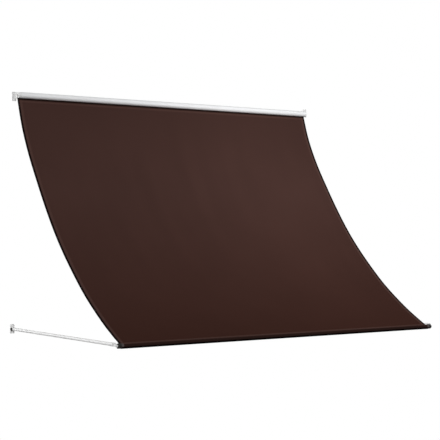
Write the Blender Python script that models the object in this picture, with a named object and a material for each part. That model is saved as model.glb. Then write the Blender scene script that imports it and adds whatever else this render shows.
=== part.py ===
"""Drop-arm window awning: a spring roller on two wall brackets, a hanging cloth, and a front bar
carried by two arms that swing on two lower wall brackets.

Metres, +Z up. The wall is the plane Y = 0 and the awning stands out of it along -Y. The origin is
on the wall, at half the width and at the height of the roller's axis.
"""

import math

import bmesh
import bpy
from mathutils import Matrix, Vector

# Driving sizes of the whole awning
CLOTH_WIDTH = 2.400
DROP = 1.527  # roller axis above the arm pivots
ARM_REACH = 1.322  # pivot axis to bar axis, along the level arm
BAR_OFFSET = 0.008  # bar axis below the arm's centre line
SAG = 0.185  # how far the cloth hangs below its straight chord
CLOTH_THICKNESS = 0.001

# Clearances
GAP = 0.0003  # between pieces that seat or fit
RUNNING_GAP = 0.001  # between faces that turn past each other

# Roller
ROLLER_OUT = 0.027  # roller axis from the wall
ROLLER_RADIUS = 0.020
ROLLER_WALL = 0.0015
ROLLER_OVERHANG = 0.002  # roller past the cloth, each end
END_COLLAR = 0.017  # moulded collar of each end plug, flush with the tube
KEDER_RADIUS = 0.0025
GROOVE_LIP = 0.0013
GROOVE_WALL = 0.0013
GROOVE_SLOT = 0.0018
GROOVE_ANGLE = math.radians(60.0)  # above the rear of the roller
PLUG_DEPTH = 0.030
PIN_RADIUS = 0.004
PIN_REACH = 0.004  # pin and spear past the outer face of the cheek
AXLE_RADIUS = 0.005
SPEAR_HEIGHT = 0.008
SPEAR_THICKNESS = 0.004
SPRING_LENGTH = 0.206
SPRING_TURNS = 26
SPRING_RADIUS = 0.0085
SPRING_WIRE = 0.0012
ANCHOR_LENGTH = 0.015
ANCHOR_RADIUS = 0.0105
BUSH_WALL = 0.0025
BUSH_FLANGE = 0.0015

# Top brackets
SHEET = 0.003  # sheet steel of all four brackets
TOP_FLANGE_WIDTH = 0.030
TOP_FLANGE_SHORT = 0.0215  # from the roller axis: up on the left, down on the right
TOP_FLANGE_LONG = 0.038  # from the roller axis: down on the left, up on the right
CHEEK_NOSE = 0.014
CHEEK_BASE = 0.0205  # half height where a cheek meets the flange
CORNER_RADIUS = 0.004
SCREW_HOLE_RADIUS = 0.003
TOP_HOLE_INSET = 0.012  # screw holes from the flange's ends

# Low brackets and pivots
PIVOT_OUT = 0.022
ARM_OFFSET = 0.035  # arm's centre line past the cloth's edge
LOW_FLANGE_OFFSET = 0.030  # flange's centre line past the cloth's edge
LOW_FLANGE_WIDTH = 0.030
LOW_FLANGE_HEIGHT = 0.060
LOW_HOLE_INSET = 0.009
EAR_NOSE = 0.012
EAR_BASE = 0.014  # half height where an ear meets the flange
TONGUE = 0.010  # thickness of the arm's flat end in the bracket
OUTER_TONGUE = 0.006  # thickness of the arm's flat end at the bar
TONGUE_RADIUS = 0.009
WASHER = 0.001
PIVOT_RADIUS = 0.004
NUT_HEIGHT = 0.005
NUT_RADIUS = 0.0075
PIVOT_HEAD_HEIGHT = 0.0035
PIVOT_CAP_RADIUS = 0.0115
PIVOT_CAP_WALL = 0.0015
PIVOT_CAP_EDGE = 0.002
BOLT_TAIL = 0.002  # bolt past its nut

# Arms
ARM_RADIUS = 0.0095
ARM_WALL = 0.0012
SPIGOT_DEPTH = 0.040
COLLAR_START = 0.015  # from the pivot axis
COLLAR_LENGTH = 0.004
SLEEVE_WALL = 0.0015
SLEEVE_DEPTH = 0.036
SLEEVE_FLOOR = 0.004

# Front bar
BAR_RADIUS = 0.0125
BAR_WALL = 0.0015
CAP_RADIUS = 0.015
CAP_LENGTH = 0.023
CAP_EDGE = 0.004
CAP_LIP = 0.0005  # raised ring at the cap's inner end
CAP_LIP_LENGTH = 0.003
CAP_SPIGOT = 0.025
BAR_BOLT_RADIUS = 0.003
BAR_BOLT_HEAD_RADIUS = 0.005
BAR_BOLT_HEAD = 0.0025
BAR_BOLT_DEPTH = 0.015
SEAM_DISTANCE = 0.024  # pocket seam from the bar's axis
HEM_FLAP = 0.018

# The cloth's hang, as shares of its chord and of its sag
SAG_CURVE = (
    (0.0, 0.0),
    (0.11, 0.46),
    (0.25, 0.765),
    (0.51, 1.0),
    (0.73, 0.815),
    (0.88, 0.45),
    (1.0, 0.0),
)
SAG_START_SLOPE = 4.7
SAG_END_SLOPE = -4.15
CLOTH_STEPS = 28

# Fineness of round pieces
ROUND = 32
SMALL_ROUND = 20

# Places that follow from the sizes
PIVOT_Z = -DROP
CLOTH_EDGE = CLOTH_WIDTH / 2
PLUG_FACE = CLOTH_EDGE + ROLLER_OVERHANG
TUBE_END = PLUG_FACE - END_COLLAR - GAP
CHEEK_IN = PLUG_FACE + RUNNING_GAP
CHEEK_OUT = CHEEK_IN + SHEET
GROOVE_RADIUS = KEDER_RADIUS + GAP
GROOVE_CENTRE = ROLLER_RADIUS - GROOVE_LIP - GROOVE_RADIUS
ARM_X = CLOTH_EDGE + ARM_OFFSET
LOW_FLANGE_X = CLOTH_EDGE + LOW_FLANGE_OFFSET
EAR_IN = TONGUE / 2 + WASHER + 2 * GAP
EAR_OUT = EAR_IN + SHEET
CAP_IN = CLOTH_EDGE + GAP
CAP_OUT = CAP_IN + CAP_LENGTH
END_TONGUE_IN = CAP_OUT + GAP
END_TONGUE_OUT = END_TONGUE_IN + OUTER_TONGUE
SLEEVE_END = ARM_REACH - CAP_RADIUS - CAP_LIP - RUNNING_GAP
ARM_START = COLLAR_START + COLLAR_LENGTH + GAP
ARM_END = SLEEVE_END - SLEEVE_FLOOR - GAP
CLOTH_HALF = CLOTH_THICKNESS / 2
WOUND_RADIUS = ROLLER_RADIUS + GAP + CLOTH_HALF
POCKET_RADIUS = BAR_RADIUS + GAP + CLOTH_HALF


def clear_scene():
    for thing in list(bpy.data.objects):
        bpy.data.objects.remove(thing, do_unlink=True)


def material(name, colour, roughness, metallic):
    made = bpy.data.materials.new(name)
    made.use_nodes = True
    shader = made.node_tree.nodes["Principled BSDF"]
    shader.inputs["Base Color"].default_value = (*colour, 1.0)
    shader.inputs["Roughness"].default_value = roughness
    shader.inputs["Metallic"].default_value = metallic
    return made


def empty(name, location):
    holder = bpy.data.objects.new(name, None)
    holder.location = location
    bpy.context.collection.objects.link(holder)
    return holder


def piece(name, bm, finish, parent, location=(0.0, 0.0, 0.0)):
    """Turns a bmesh into a named object with its own material, under its axis."""
    bmesh.ops.recalc_face_normals(bm, faces=bm.faces)
    mesh = bpy.data.meshes.new(name)
    bm.to_mesh(mesh)
    bm.free()
    mesh.shade_smooth()
    mesh.set_sharp_from_angle(angle=math.radians(35.0))
    mesh.materials.append(material(name, *finish))
    made = bpy.data.objects.new(name, mesh)
    made.location = location
    made.parent = parent
    bpy.context.collection.objects.link(made)
    return made


def combine(target, tool, operation):
    """Joins or cuts with a Boolean modifier, and hides the tool from the finished model."""
    tool.hide_render = True
    tool.display_type = "WIRE"
    modifier = target.modifiers.new(operation.title(), "BOOLEAN")
    modifier.operation = operation
    modifier.solver = "EXACT"
    modifier.object = tool


def arc(centre, radius, start, end, steps):
    """Points on an arc in the plane across the width; angles run from +Y towards +Z."""
    angles = [start + (end - start) * i / steps for i in range(steps + 1)]
    return [(centre[0] + radius * math.cos(a), centre[1] + radius * math.sin(a)) for a in angles]


def circle(centre, radius, steps):
    return arc(centre, radius, 0.0, 2 * math.pi, steps)[:-1]


def rounded_rectangle(half_width, low, high, radius, steps=4):
    """A rectangle about half_width either side of the vertical, with round corners."""
    quarter = math.pi / 2
    return (
        arc((half_width - radius, high - radius), radius, 0.0, quarter, steps)
        + arc((radius - half_width, high - radius), radius, quarter, 2 * quarter, steps)
        + arc((radius - half_width, low + radius), radius, 2 * quarter, 3 * quarter, steps)
        + arc((half_width - radius, low + radius), radius, 3 * quarter, 4 * quarter, steps)
    )


def plate(outline, holes, low, high, along="X"):
    """A flat outline with holes, extruded along X from low to high, or along Y for a wall flange."""
    bm = bmesh.new()
    edges = []
    for loop in (outline, *holes):
        if along == "X":
            verts = [bm.verts.new((low, a, b)) for a, b in loop]
        else:
            verts = [bm.verts.new((a, low, b)) for a, b in loop]
        edges += [bm.edges.new(pair) for pair in zip(verts, verts[1:] + verts[:1])]
    filled = bmesh.ops.triangle_fill(bm, edges=edges, use_beauty=True)
    faces = [f for f in filled["geom"] if isinstance(f, bmesh.types.BMFace)]
    grown = bmesh.ops.extrude_face_region(bm, geom=faces)
    moved = [v for v in grown["geom"] if isinstance(v, bmesh.types.BMVert)]
    step = (high - low, 0.0, 0.0) if along == "X" else (0.0, high - low, 0.0)
    bmesh.ops.translate(bm, verts=moved, vec=step)
    return bm


def turned(profile, closed, steps, along="X"):
    """A body of revolution from (place on axis, radius) points; a closed profile leaves a bore."""
    bm = bmesh.new()
    verts = [bm.verts.new((place, 0.0, radius)) for place, radius in profile]
    edges = [bm.edges.new(pair) for pair in zip(verts, verts[1:])]
    if closed:
        edges.append(bm.edges.new((verts[-1], verts[0])))
    bmesh.ops.spin(
        bm,
        geom=verts + edges,
        cent=(0.0, 0.0, 0.0),
        axis=(1.0, 0.0, 0.0),
        angle=2 * math.pi,
        steps=steps,
        use_merge=True,
    )
    bmesh.ops.remove_doubles(bm, verts=bm.verts, dist=1e-6)
    if along == "Y":
        bmesh.ops.rotate(bm, verts=bm.verts, matrix=Matrix.Rotation(math.pi / 2, 3, "Z"))
    return bm


def tube(start, end, radius, wall, steps, along="X"):
    inner = radius - wall
    return turned(
        [(start, inner), (end, inner), (end, radius), (start, radius)], True, steps, along
    )


def hexagon(centre, radius):
    return circle(centre, radius, 6)


def sides():
    return (("left", -1.0), ("right", 1.0))


def groove_point(along, across):
    """A point of the keder groove, from its place along and across the groove's own radius."""
    cos_a, sin_a = math.cos(GROOVE_ANGLE), math.sin(GROOVE_ANGLE)
    return (along * cos_a - across * sin_a, along * sin_a + across * cos_a)


def tube_outside():
    """The roller's outer outline, with the keder groove let in."""
    half = GROOVE_SLOT / 2
    open_angle = math.asin(half / ROLLER_RADIUS)
    mouth = math.asin(half / GROOVE_RADIUS)
    outline = arc(
        (0.0, 0.0),
        ROLLER_RADIUS,
        GROOVE_ANGLE + open_angle,
        GROOVE_ANGLE + 2 * math.pi - open_angle,
        48,
    )
    outline += arc(
        groove_point(GROOVE_CENTRE, 0.0),
        GROOVE_RADIUS,
        GROOVE_ANGLE - mouth,
        GROOVE_ANGLE - 2 * math.pi + mouth,
        14,
    )
    return outline


def tube_inside(clearance):
    """The roller's bore round the groove, or the outline of what fits in it with a clearance."""
    bore = ROLLER_RADIUS - ROLLER_WALL - clearance
    bump = GROOVE_RADIUS + GROOVE_WALL + clearance
    along = (bore**2 - bump**2 + GROOVE_CENTRE**2) / (2 * GROOVE_CENTRE)
    across = math.sqrt(bore**2 - along**2)
    from_axis = math.atan2(across, along)
    from_groove = math.atan2(across, along - GROOVE_CENTRE)
    outline = arc(
        (0.0, 0.0),
        bore,
        GROOVE_ANGLE + from_axis,
        GROOVE_ANGLE + 2 * math.pi - from_axis,
        36,
    )
    outline += arc(
        groove_point(GROOVE_CENTRE, 0.0),
        bump,
        GROOVE_ANGLE - from_groove,
        GROOVE_ANGLE - 2 * math.pi + from_groove,
        12,
    )[1:-1]
    return outline


def make_roller(axis):
    """The extruded tube, its keder rod and the two end plugs with their collars."""
    white = ((0.80, 0.81, 0.81), 0.35, 0.0)
    grey = ((0.55, 0.56, 0.56), 0.5, 0.0)
    piece(
        "roller_tube",
        plate(tube_outside(), [tube_inside(0.0)], -TUBE_END, TUBE_END),
        white,
        axis,
    )
    y, z = groove_point(GROOVE_CENTRE, 0.0)
    piece(
        "keder_rod",
        plate(circle((y, z), KEDER_RADIUS, SMALL_ROUND), [], -CLOTH_EDGE, CLOTH_EDGE),
        ((0.10, 0.08, 0.07), 0.6, 0.0),
        axis,
    )
    for side, sign in sides():
        bore = PIN_RADIUS + GAP if side == "left" else AXLE_RADIUS + GAP
        hole = [circle((0.0, 0.0), bore, SMALL_ROUND)]
        plug = piece(
            f"roller_plug_{side}",
            plate(
                tube_inside(GAP),
                hole,
                sign * (TUBE_END - PLUG_DEPTH),
                sign * (PLUG_FACE - END_COLLAR / 2),
            ),
            grey,
            axis,
        )
        collar = piece(
            f"plug_collar_{side}",
            plate(tube_outside(), hole, sign * (TUBE_END + GAP), sign * PLUG_FACE),
            grey,
            axis,
        )
        combine(plug, collar, "UNION")


def make_roller_pin(axis):
    """The idle end's pin, turned with a small chamfer at each end."""
    start = -(CHEEK_OUT + PIN_REACH)
    end = -(TUBE_END - PLUG_DEPTH + GAP)
    chamfer = PIN_RADIUS / 4
    profile = [
        (start, 0.0),
        (start, PIN_RADIUS - chamfer),
        (start + chamfer, PIN_RADIUS),
        (end - chamfer, PIN_RADIUS),
        (end, PIN_RADIUS - chamfer),
        (end, 0.0),
    ]
    steel = ((0.55, 0.55, 0.56), 0.35, 0.9)
    piece("roller_pin", turned(profile, False, SMALL_ROUND), steel, axis)


def make_spring_unit(root):
    """The fixed axle with its flat spear, the anchor on it and the torsion spring between them."""
    steel = ((0.50, 0.50, 0.51), 0.4, 0.9)
    centre = (0.0, -ROLLER_OUT, 0.0)
    spring_end = TUBE_END - PLUG_DEPTH - GAP
    spring_start = spring_end - SPRING_LENGTH
    anchor_end = spring_start - GAP
    anchor_start = anchor_end - ANCHOR_LENGTH
    shoulder = PLUG_FACE
    axle = piece(
        "spring_axle",
        turned(
            [
                (anchor_start, 0.0),
                (anchor_start, AXLE_RADIUS),
                (shoulder, AXLE_RADIUS),
                (shoulder, 0.0),
            ],
            False,
            SMALL_ROUND,
        ),
        steel,
        root,
        centre,
    )
    spear = piece(
        "axle_spear",
        plate(
            rounded_rectangle(
                SPEAR_THICKNESS / 2,
                -SPEAR_HEIGHT / 2,
                SPEAR_HEIGHT / 2,
                SPEAR_THICKNESS / 4,
            ),
            [],
            shoulder - SPEAR_THICKNESS,
            CHEEK_OUT + PIN_REACH,
        ),
        steel,
        root,
        centre,
    )
    combine(axle, spear, "UNION")
    piece(
        "spring_anchor",
        tube(
            anchor_start,
            anchor_end,
            ANCHOR_RADIUS,
            ANCHOR_RADIUS - AXLE_RADIUS - GAP,
            SMALL_ROUND,
        ),
        ((0.30, 0.30, 0.31), 0.5, 0.0),
        root,
        centre,
    )
    make_spring(root, centre, spring_start, spring_end)


def make_spring(root, centre, start, end):
    """A torsion spring: a round wire on a helix about the axle."""
    steps = 12 * SPRING_TURNS
    first = start + SPRING_WIRE + GAP
    last = end - SPRING_WIRE - GAP
    curve = bpy.data.curves.new("roller_spring", "CURVE")
    curve.dimensions = "3D"
    curve.bevel_depth = SPRING_WIRE
    curve.bevel_resolution = 1
    curve.use_fill_caps = True
    wire = curve.splines.new("POLY")
    wire.points.add(steps)
    for i, point in enumerate(wire.points):
        angle = 2 * math.pi * SPRING_TURNS * i / steps
        along = first + (last - first) * i / steps
        y, z = SPRING_RADIUS * math.cos(angle), SPRING_RADIUS * math.sin(angle)
        point.co = (along, y, z, 1.0)
    curve.materials.append(material("roller_spring", (0.35, 0.35, 0.36), 0.4, 0.9))
    made = bpy.data.objects.new("roller_spring", curve)
    made.location = centre
    made.parent = root
    bpy.context.collection.objects.link(made)


def ear_outline(out, nose, base):
    """An ear: straight edges from the flange onto a round nose about the axis it carries."""
    reach = math.hypot(out, base)
    lean = math.acos(nose / reach) + math.atan2(base, out)
    tip = arc((-out, 0.0), nose, lean, 2 * math.pi - lean, 18)
    return [(0.0, base), *tip, (0.0, -base)]


def make_top_brackets(root):
    """A wall flange folded outwards and a round-nosed cheek that carries the roller's end.

    The right bracket is the left one turned end for end, so its long end points up.
    """
    grey = ((0.58, 0.59, 0.60), 0.4, 0.3)
    centre = (-ROLLER_OUT, 0.0)
    cheek = ear_outline(ROLLER_OUT, CHEEK_NOSE, CHEEK_BASE)
    for side, sign in sides():
        if side == "left":
            low, high = -TOP_FLANGE_LONG, TOP_FLANGE_SHORT
            hole = circle(centre, PIN_RADIUS + GAP + BUSH_WALL + GAP, SMALL_ROUND)
        else:
            low, high = -TOP_FLANGE_SHORT, TOP_FLANGE_LONG
            hole = [
                (y - ROLLER_OUT, z)
                for y, z in rounded_rectangle(
                    SPEAR_THICKNESS / 2 + GAP,
                    -SPEAR_HEIGHT / 2 - GAP,
                    SPEAR_HEIGHT / 2 + GAP,
                    SPEAR_THICKNESS / 4,
                )
            ]
        bracket = piece(
            f"top_bracket_{side}",
            plate(cheek, [hole], sign * CHEEK_IN, sign * CHEEK_OUT),
            grey,
            root,
        )
        middle = sign * (CHEEK_IN + TOP_FLANGE_WIDTH / 2)
        face = [
            (middle + x, z)
            for x, z in rounded_rectangle(TOP_FLANGE_WIDTH / 2, low, high, CORNER_RADIUS)
        ]
        hole_x = sign * (CHEEK_OUT + (TOP_FLANGE_WIDTH - SHEET) / 2)
        heights = (high - TOP_HOLE_INSET, low + TOP_HOLE_INSET)
        holes = [circle((hole_x, z), SCREW_HOLE_RADIUS, SMALL_ROUND) for z in heights]
        flange = piece(f"top_flange_{side}", plate(face, holes, -SHEET, 0.0, "Y"), grey, root)
        combine(bracket, flange, "UNION")


def make_bush(root):
    """The plastic bush that the idle pin turns in, with its rim outside the cheek."""
    bore = PIN_RADIUS + GAP
    body = bore + BUSH_WALL
    inner = -(CHEEK_IN - GAP)
    seat = -(CHEEK_OUT + GAP)
    rim = seat - BUSH_FLANGE
    profile = [
        (inner, bore),
        (inner, body),
        (seat, body),
        (seat, body + BUSH_WALL),
        (rim, body + BUSH_WALL),
        (rim, bore),
    ]
    piece(
        "roller_bush",
        turned(profile, True, SMALL_ROUND),
        ((0.75, 0.75, 0.74), 0.5, 0.0),
        root,
        (0.0, -ROLLER_OUT, 0.0),
    )


def make_low_brackets(root):
    """A wall flange with two ears that the arm's tongue turns between."""
    grey = ((0.62, 0.63, 0.64), 0.4, 0.3)
    hole = circle((-PIVOT_OUT, 0.0), PIVOT_RADIUS + GAP, SMALL_ROUND)
    outline = ear_outline(PIVOT_OUT, EAR_NOSE, EAR_BASE)
    half = LOW_FLANGE_HEIGHT / 2
    for side, sign in sides():
        middle = sign * LOW_FLANGE_X
        face = [
            (middle + x, z)
            for x, z in rounded_rectangle(LOW_FLANGE_WIDTH / 2, -half, half, CORNER_RADIUS)
        ]
        heights = (half - LOW_HOLE_INSET, LOW_HOLE_INSET - half)
        holes = [circle((middle, z), SCREW_HOLE_RADIUS, SMALL_ROUND) for z in heights]
        place = (0.0, 0.0, PIVOT_Z)
        bracket = piece(
            f"low_bracket_{side}", plate(face, holes, -SHEET, 0.0, "Y"), grey, root, place
        )
        for name, low in (("inner", ARM_X - EAR_OUT), ("outer", ARM_X + EAR_IN)):
            ear = piece(
                f"ear_{name}_{side}",
                plate(outline, [hole], sign * low, sign * (low + SHEET)),
                grey,
                root,
                place,
            )
            combine(bracket, ear, "UNION")


def make_pivots(root):
    """The bolt through each low bracket, its nut, the friction washers and the black cap."""
    steel = ((0.60, 0.60, 0.61), 0.3, 0.9)
    place = (0.0, -PIVOT_OUT, PIVOT_Z)
    bore = PIVOT_RADIUS + GAP
    for side, sign in sides():
        nut_in = ARM_X - EAR_OUT - GAP - NUT_HEIGHT
        nut_out = ARM_X - EAR_OUT - GAP
        head_in = ARM_X + EAR_OUT + GAP
        head_out = head_in + PIVOT_HEAD_HEIGHT
        bolt = piece(
            f"pivot_bolt_{side}",
            turned(
                [
                    (sign * (nut_in - BOLT_TAIL), 0.0),
                    (sign * (nut_in - BOLT_TAIL), PIVOT_RADIUS),
                    (sign * (head_in + GAP), PIVOT_RADIUS),
                    (sign * (head_in + GAP), 0.0),
                ],
                False,
                SMALL_ROUND,
            ),
            steel,
            root,
            place,
        )
        head = piece(
            f"pivot_head_{side}",
            plate(hexagon((0.0, 0.0), NUT_RADIUS), [], sign * head_in, sign * head_out),
            steel,
            root,
            place,
        )
        combine(bolt, head, "UNION")
        piece(
            f"pivot_nut_{side}",
            plate(
                hexagon((0.0, 0.0), NUT_RADIUS),
                [circle((0.0, 0.0), bore, SMALL_ROUND)],
                sign * nut_in,
                sign * nut_out,
            ),
            steel,
            root,
            place,
        )
        for name, low in (
            ("inner", ARM_X - TONGUE / 2 - GAP - WASHER),
            ("outer", ARM_X + TONGUE / 2 + GAP),
        ):
            piece(
                f"friction_washer_{name}_{side}",
                tube(
                    sign * low,
                    sign * (low + WASHER),
                    TONGUE_RADIUS,
                    TONGUE_RADIUS - bore,
                    SMALL_ROUND,
                ),
                ((0.12, 0.12, 0.12), 0.6, 0.0),
                root,
                place,
            )
        make_pivot_cap(side, sign, root, place, head_in, head_out)


def make_pivot_cap(side, sign, root, place, rim, head_out):
    """A round black cup over the bolt's head, with a rolled edge."""
    floor = head_out + GAP
    face = floor + PIVOT_CAP_WALL
    hollow = NUT_RADIUS + GAP
    edge = arc(
        (face - PIVOT_CAP_EDGE, PIVOT_CAP_RADIUS - PIVOT_CAP_EDGE),
        PIVOT_CAP_EDGE,
        math.pi / 2,
        0.0,
        4,
    )
    profile = [(floor, 0.0), (floor, hollow), (rim, hollow), (rim, PIVOT_CAP_RADIUS)]
    profile += [*edge, (face, 0.0)]
    piece(
        f"pivot_cap_{side}",
        turned([(sign * x, r) for x, r in profile], False, ROUND),
        ((0.02, 0.02, 0.02), 0.45, 0.0),
        root,
        place,
    )


def make_arms(axis):
    """Each arm's tube, with the tongue that turns in the bracket and the sleeve at the bar."""
    white = ((0.78, 0.79, 0.80), 0.35, 0.1)
    for side, sign in sides():
        place = (sign * ARM_X, 0.0, 0.0)
        piece(
            f"arm_{side}",
            tube(-ARM_START, -ARM_END, ARM_RADIUS, ARM_WALL, SMALL_ROUND, "Y"),
            white,
            axis,
            place,
        )
        make_inner_end(side, axis, place)
        make_outer_end(side, sign, axis, place)


def make_inner_end(side, axis, place):
    """A spigot in the tube, a collar that stops it, and a flat tongue with an eye."""
    grey = ((0.62, 0.63, 0.64), 0.4, 0.2)
    collar_end = COLLAR_START + COLLAR_LENGTH
    spigot = ARM_RADIUS - ARM_WALL - GAP
    tip = collar_end + SPIGOT_DEPTH
    chamfer = spigot / 5
    profile = [
        (-COLLAR_START, 0.0),
        (-COLLAR_START, ARM_RADIUS),
        (-collar_end, ARM_RADIUS),
        (-collar_end, spigot),
        (-tip + chamfer, spigot),
        (-tip, spigot - chamfer),
        (-tip, 0.0),
    ]
    end = piece(
        f"arm_inner_end_{side}", turned(profile, False, SMALL_ROUND, "Y"), grey, axis, place
    )
    eye = arc((0.0, 0.0), TONGUE_RADIUS, math.pi / 2, -math.pi / 2, 12)
    neck = COLLAR_START + COLLAR_LENGTH / 2
    outline = [*eye, (-neck, -TONGUE_RADIUS), (-neck, TONGUE_RADIUS)]
    hole = circle((0.0, 0.0), PIVOT_RADIUS + GAP, SMALL_ROUND)
    tongue = piece(
        f"inner_tongue_{side}",
        plate(outline, [hole], -TONGUE / 2, TONGUE / 2),
        grey,
        axis,
        place,
    )
    combine(end, tongue, "UNION")


def make_outer_end(side, sign, axis, place):
    """A sleeve over the tube's end, closed, with an eye on the bar's lower axis."""
    grey = ((0.66, 0.67, 0.68), 0.45, 0.1)
    bore = ARM_RADIUS + GAP
    outside = bore + SLEEVE_WALL
    mouth = SLEEVE_END - SLEEVE_DEPTH
    floor = SLEEVE_END - SLEEVE_FLOOR
    profile = [
        (-floor, 0.0),
        (-floor, bore),
        (-mouth, bore),
        (-mouth, outside),
        (-SLEEVE_END, outside),
        (-SLEEVE_END, 0.0),
    ]
    end = piece(
        f"arm_outer_end_{side}", turned(profile, False, SMALL_ROUND, "Y"), grey, axis, place
    )
    eye = arc((-ARM_REACH, -BAR_OFFSET), TONGUE_RADIUS, math.pi / 2, 3 * math.pi / 2, 12)
    neck = SLEEVE_END - SLEEVE_FLOOR / 2
    outline = [(-neck, TONGUE_RADIUS), *eye, (-neck, -TONGUE_RADIUS)]
    hole = circle((-ARM_REACH, -BAR_OFFSET), BAR_BOLT_RADIUS + GAP, SMALL_ROUND)
    tongue = piece(
        f"outer_tongue_{side}",
        plate(
            outline,
            [hole],
            sign * (END_TONGUE_IN - ARM_X),
            sign * (END_TONGUE_OUT - ARM_X),
        ),
        grey,
        axis,
        place,
    )
    combine(end, tongue, "UNION")


def make_front_bar(axis):
    """The bar's tube, its two end caps and the bolts that hold them to the arms."""
    place = (0.0, -ARM_REACH, -BAR_OFFSET)
    piece(
        "front_bar",
        tube(-CLOTH_EDGE, CLOTH_EDGE, BAR_RADIUS, BAR_WALL, ROUND),
        ((0.60, 0.61, 0.62), 0.35, 0.8),
        axis,
        place,
    )
    spigot = BAR_RADIUS - BAR_WALL - GAP
    bolt_hole = BAR_BOLT_RADIUS + GAP
    depth = CAP_OUT - BAR_BOLT_DEPTH
    edge = arc((CAP_OUT - CAP_EDGE, CAP_RADIUS - CAP_EDGE), CAP_EDGE, 0.0, math.pi / 2, 5)
    for side, sign in sides():
        lip_end = CAP_IN + CAP_LIP_LENGTH
        profile = [(depth, 0.0), (depth, bolt_hole), (CAP_OUT, bolt_hole), *edge]
        profile += [
            (lip_end, CAP_RADIUS),
            (lip_end, CAP_RADIUS + CAP_LIP),
            (CAP_IN, CAP_RADIUS + CAP_LIP),
            (CAP_IN, spigot),
            (CAP_IN - CAP_SPIGOT, spigot),
            (CAP_IN - CAP_SPIGOT, 0.0),
        ]
        piece(
            f"bar_cap_{side}",
            turned([(sign * x, r) for x, r in profile], False, ROUND),
            ((0.015, 0.012, 0.010), 0.4, 0.0),
            axis,
            place,
        )
        seat = END_TONGUE_OUT + GAP
        profile = [
            (depth + GAP, 0.0),
            (depth + GAP, BAR_BOLT_RADIUS),
            (seat, BAR_BOLT_RADIUS),
            (seat, BAR_BOLT_HEAD_RADIUS),
            (seat + BAR_BOLT_HEAD / 2, BAR_BOLT_HEAD_RADIUS),
            (seat + BAR_BOLT_HEAD, BAR_BOLT_HEAD_RADIUS / 2),
            (seat + BAR_BOLT_HEAD, 0.0),
        ]
        piece(
            f"bar_bolt_{side}",
            turned([(sign * x, r) for x, r in profile], False, SMALL_ROUND),
            ((0.60, 0.60, 0.61), 0.3, 0.9),
            axis,
            place,
        )


def sag_share(s):
    """The cloth's hang at a share of its chord, on a smooth curve through SAG_CURVE."""
    points = SAG_CURVE
    last = len(points) - 1
    slopes = [SAG_START_SLOPE]
    for (s0, h0), (s1, h1) in zip(points, points[2:]):
        slopes.append((h1 - h0) / (s1 - s0))
    slopes.append(SAG_END_SLOPE)
    i = max(k for k in range(last) if points[k][0] <= s)
    (s0, h0), (s1, h1) = points[i], points[i + 1]
    span = s1 - s0
    t = (s - s0) / span
    return (
        (2 * t**3 - 3 * t**2 + 1) * h0
        + (t**3 - 2 * t**2 + t) * span * slopes[i]
        + (3 * t**2 - 2 * t**3) * h1
        + (t**3 - t**2) * span * slopes[i + 1]
    )


def cloth_ends():
    """Where the cloth leaves the roller and meets the pocket's seam, and its slope at each."""
    roller = Vector((-ROLLER_OUT, 0.0))
    bar = Vector((-PIVOT_OUT - ARM_REACH, PIVOT_Z - BAR_OFFSET))
    start, end = roller.copy(), bar.copy()
    for _ in range(12):
        chord = end - start
        angle = math.atan2(-chord.y, -chord.x)
        start_angle = angle + math.atan(SAG_START_SLOPE * SAG / chord.length)
        end_angle = angle + math.atan(SAG_END_SLOPE * SAG / chord.length)
        rear = Vector((math.sin(start_angle), -math.cos(start_angle)))
        start = roller + WOUND_RADIUS * rear
        end = bar + SEAM_DISTANCE * Vector((math.cos(end_angle), math.sin(end_angle)))
    return start, end, start_angle, end_angle


def hanging_path(start, end):
    """The cloth's middle line from the roller to the pocket's seam."""
    chord = end - start
    across = Vector((-chord.y, chord.x)).normalized()
    path = []
    for i in range(1, CLOTH_STEPS):
        s = i / CLOTH_STEPS
        path.append(start + s * chord + SAG * sag_share(s) * across)
    return path


def pocket_path(end, end_angle):
    """The pocket: over the bar, round its front and under it, back to a flap along the cloth."""
    bar = Vector((-PIVOT_OUT - ARM_REACH, PIVOT_Z - BAR_OFFSET))
    open_angle = math.acos(POCKET_RADIUS / SEAM_DISTANCE)
    round_bar = arc(
        bar, POCKET_RADIUS, end_angle + open_angle, end_angle + 2 * math.pi - open_angle, 22
    )
    along = Vector((math.cos(end_angle), math.sin(end_angle)))
    under = Vector((math.sin(end_angle), -math.cos(end_angle)))
    flap = end + (CLOTH_THICKNESS + GAP) * under
    return [end, *(Vector(p) for p in round_bar), flap, flap + HEM_FLAP * along]


def make_cloth(root):
    """The cloth: out of the keder groove, round the roller's rear, down its hang to the pocket."""
    start, end, start_angle, end_angle = cloth_ends()
    roller = (-ROLLER_OUT, 0.0)
    leave = start_angle - math.pi / 2
    root_radius = GROOVE_CENTRE + KEDER_RADIUS + GAP
    y, z = groove_point(root_radius, 0.0)
    path = [Vector((y - ROLLER_OUT, z))]
    path += [Vector(p) for p in arc(roller, WOUND_RADIUS, GROOVE_ANGLE, leave, 12)]
    path += hanging_path(start, end)
    path += pocket_path(end, end_angle)
    bm = bmesh.new()
    verts = [bm.verts.new((-CLOTH_EDGE, p[0], p[1])) for p in path]
    edges = [bm.edges.new(pair) for pair in zip(verts, verts[1:])]
    wide = bmesh.ops.extrude_edge_only(bm, edges=edges)
    moved = [v for v in wide["geom"] if isinstance(v, bmesh.types.BMVert)]
    bmesh.ops.translate(bm, verts=moved, vec=(CLOTH_WIDTH, 0.0, 0.0))
    cloth = piece("cloth", bm, ((0.055, 0.028, 0.022), 0.9, 0.0), root)
    thick = cloth.modifiers.new("Thickness", "SOLIDIFY")
    thick.thickness = CLOTH_THICKNESS
    thick.offset = 0.0
    thick.use_even_offset = True


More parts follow.
